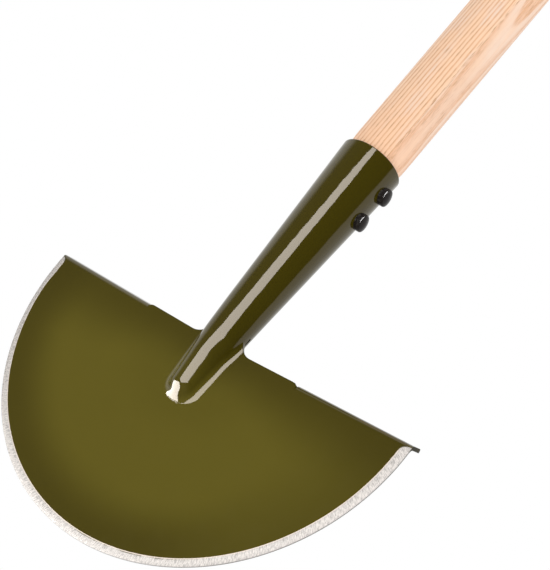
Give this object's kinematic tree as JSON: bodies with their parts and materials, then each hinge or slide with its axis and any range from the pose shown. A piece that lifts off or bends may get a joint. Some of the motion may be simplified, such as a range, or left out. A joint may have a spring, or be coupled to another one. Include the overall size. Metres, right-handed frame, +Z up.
{
  "type": "half moon edger",
  "caption": "Long-handled lawn edger: a half-moon steel blade with folded foot treads and a tapered socket, riveted to an ash shaft with a pinned cross grip.",
  "frame": {"origin": "lowest point of the cutting edge, straight below the shaft", "axes": "+Z up the shaft, +X along the blade's straight top edge, -Y out of the blade's front face"},
  "size_m": [0.226, 0.037, 0.9729],
  "materials": {
    "olive_paint": "gloss enamel, with a bright ground bevel along the cutting edge",
    "ash": "lightly oiled",
    "black_steel": "black satin",
    "bright_steel": "brushed"
  },
  "bodies": {
    "root": {"head": "olive_paint", "handle_shaft": "ash", "upper_rivet": "black_steel", "lower_rivet": "black_steel", "cross_grip": "ash", "grip_pin": "bright_steel"}
  },
  "joints": []
}
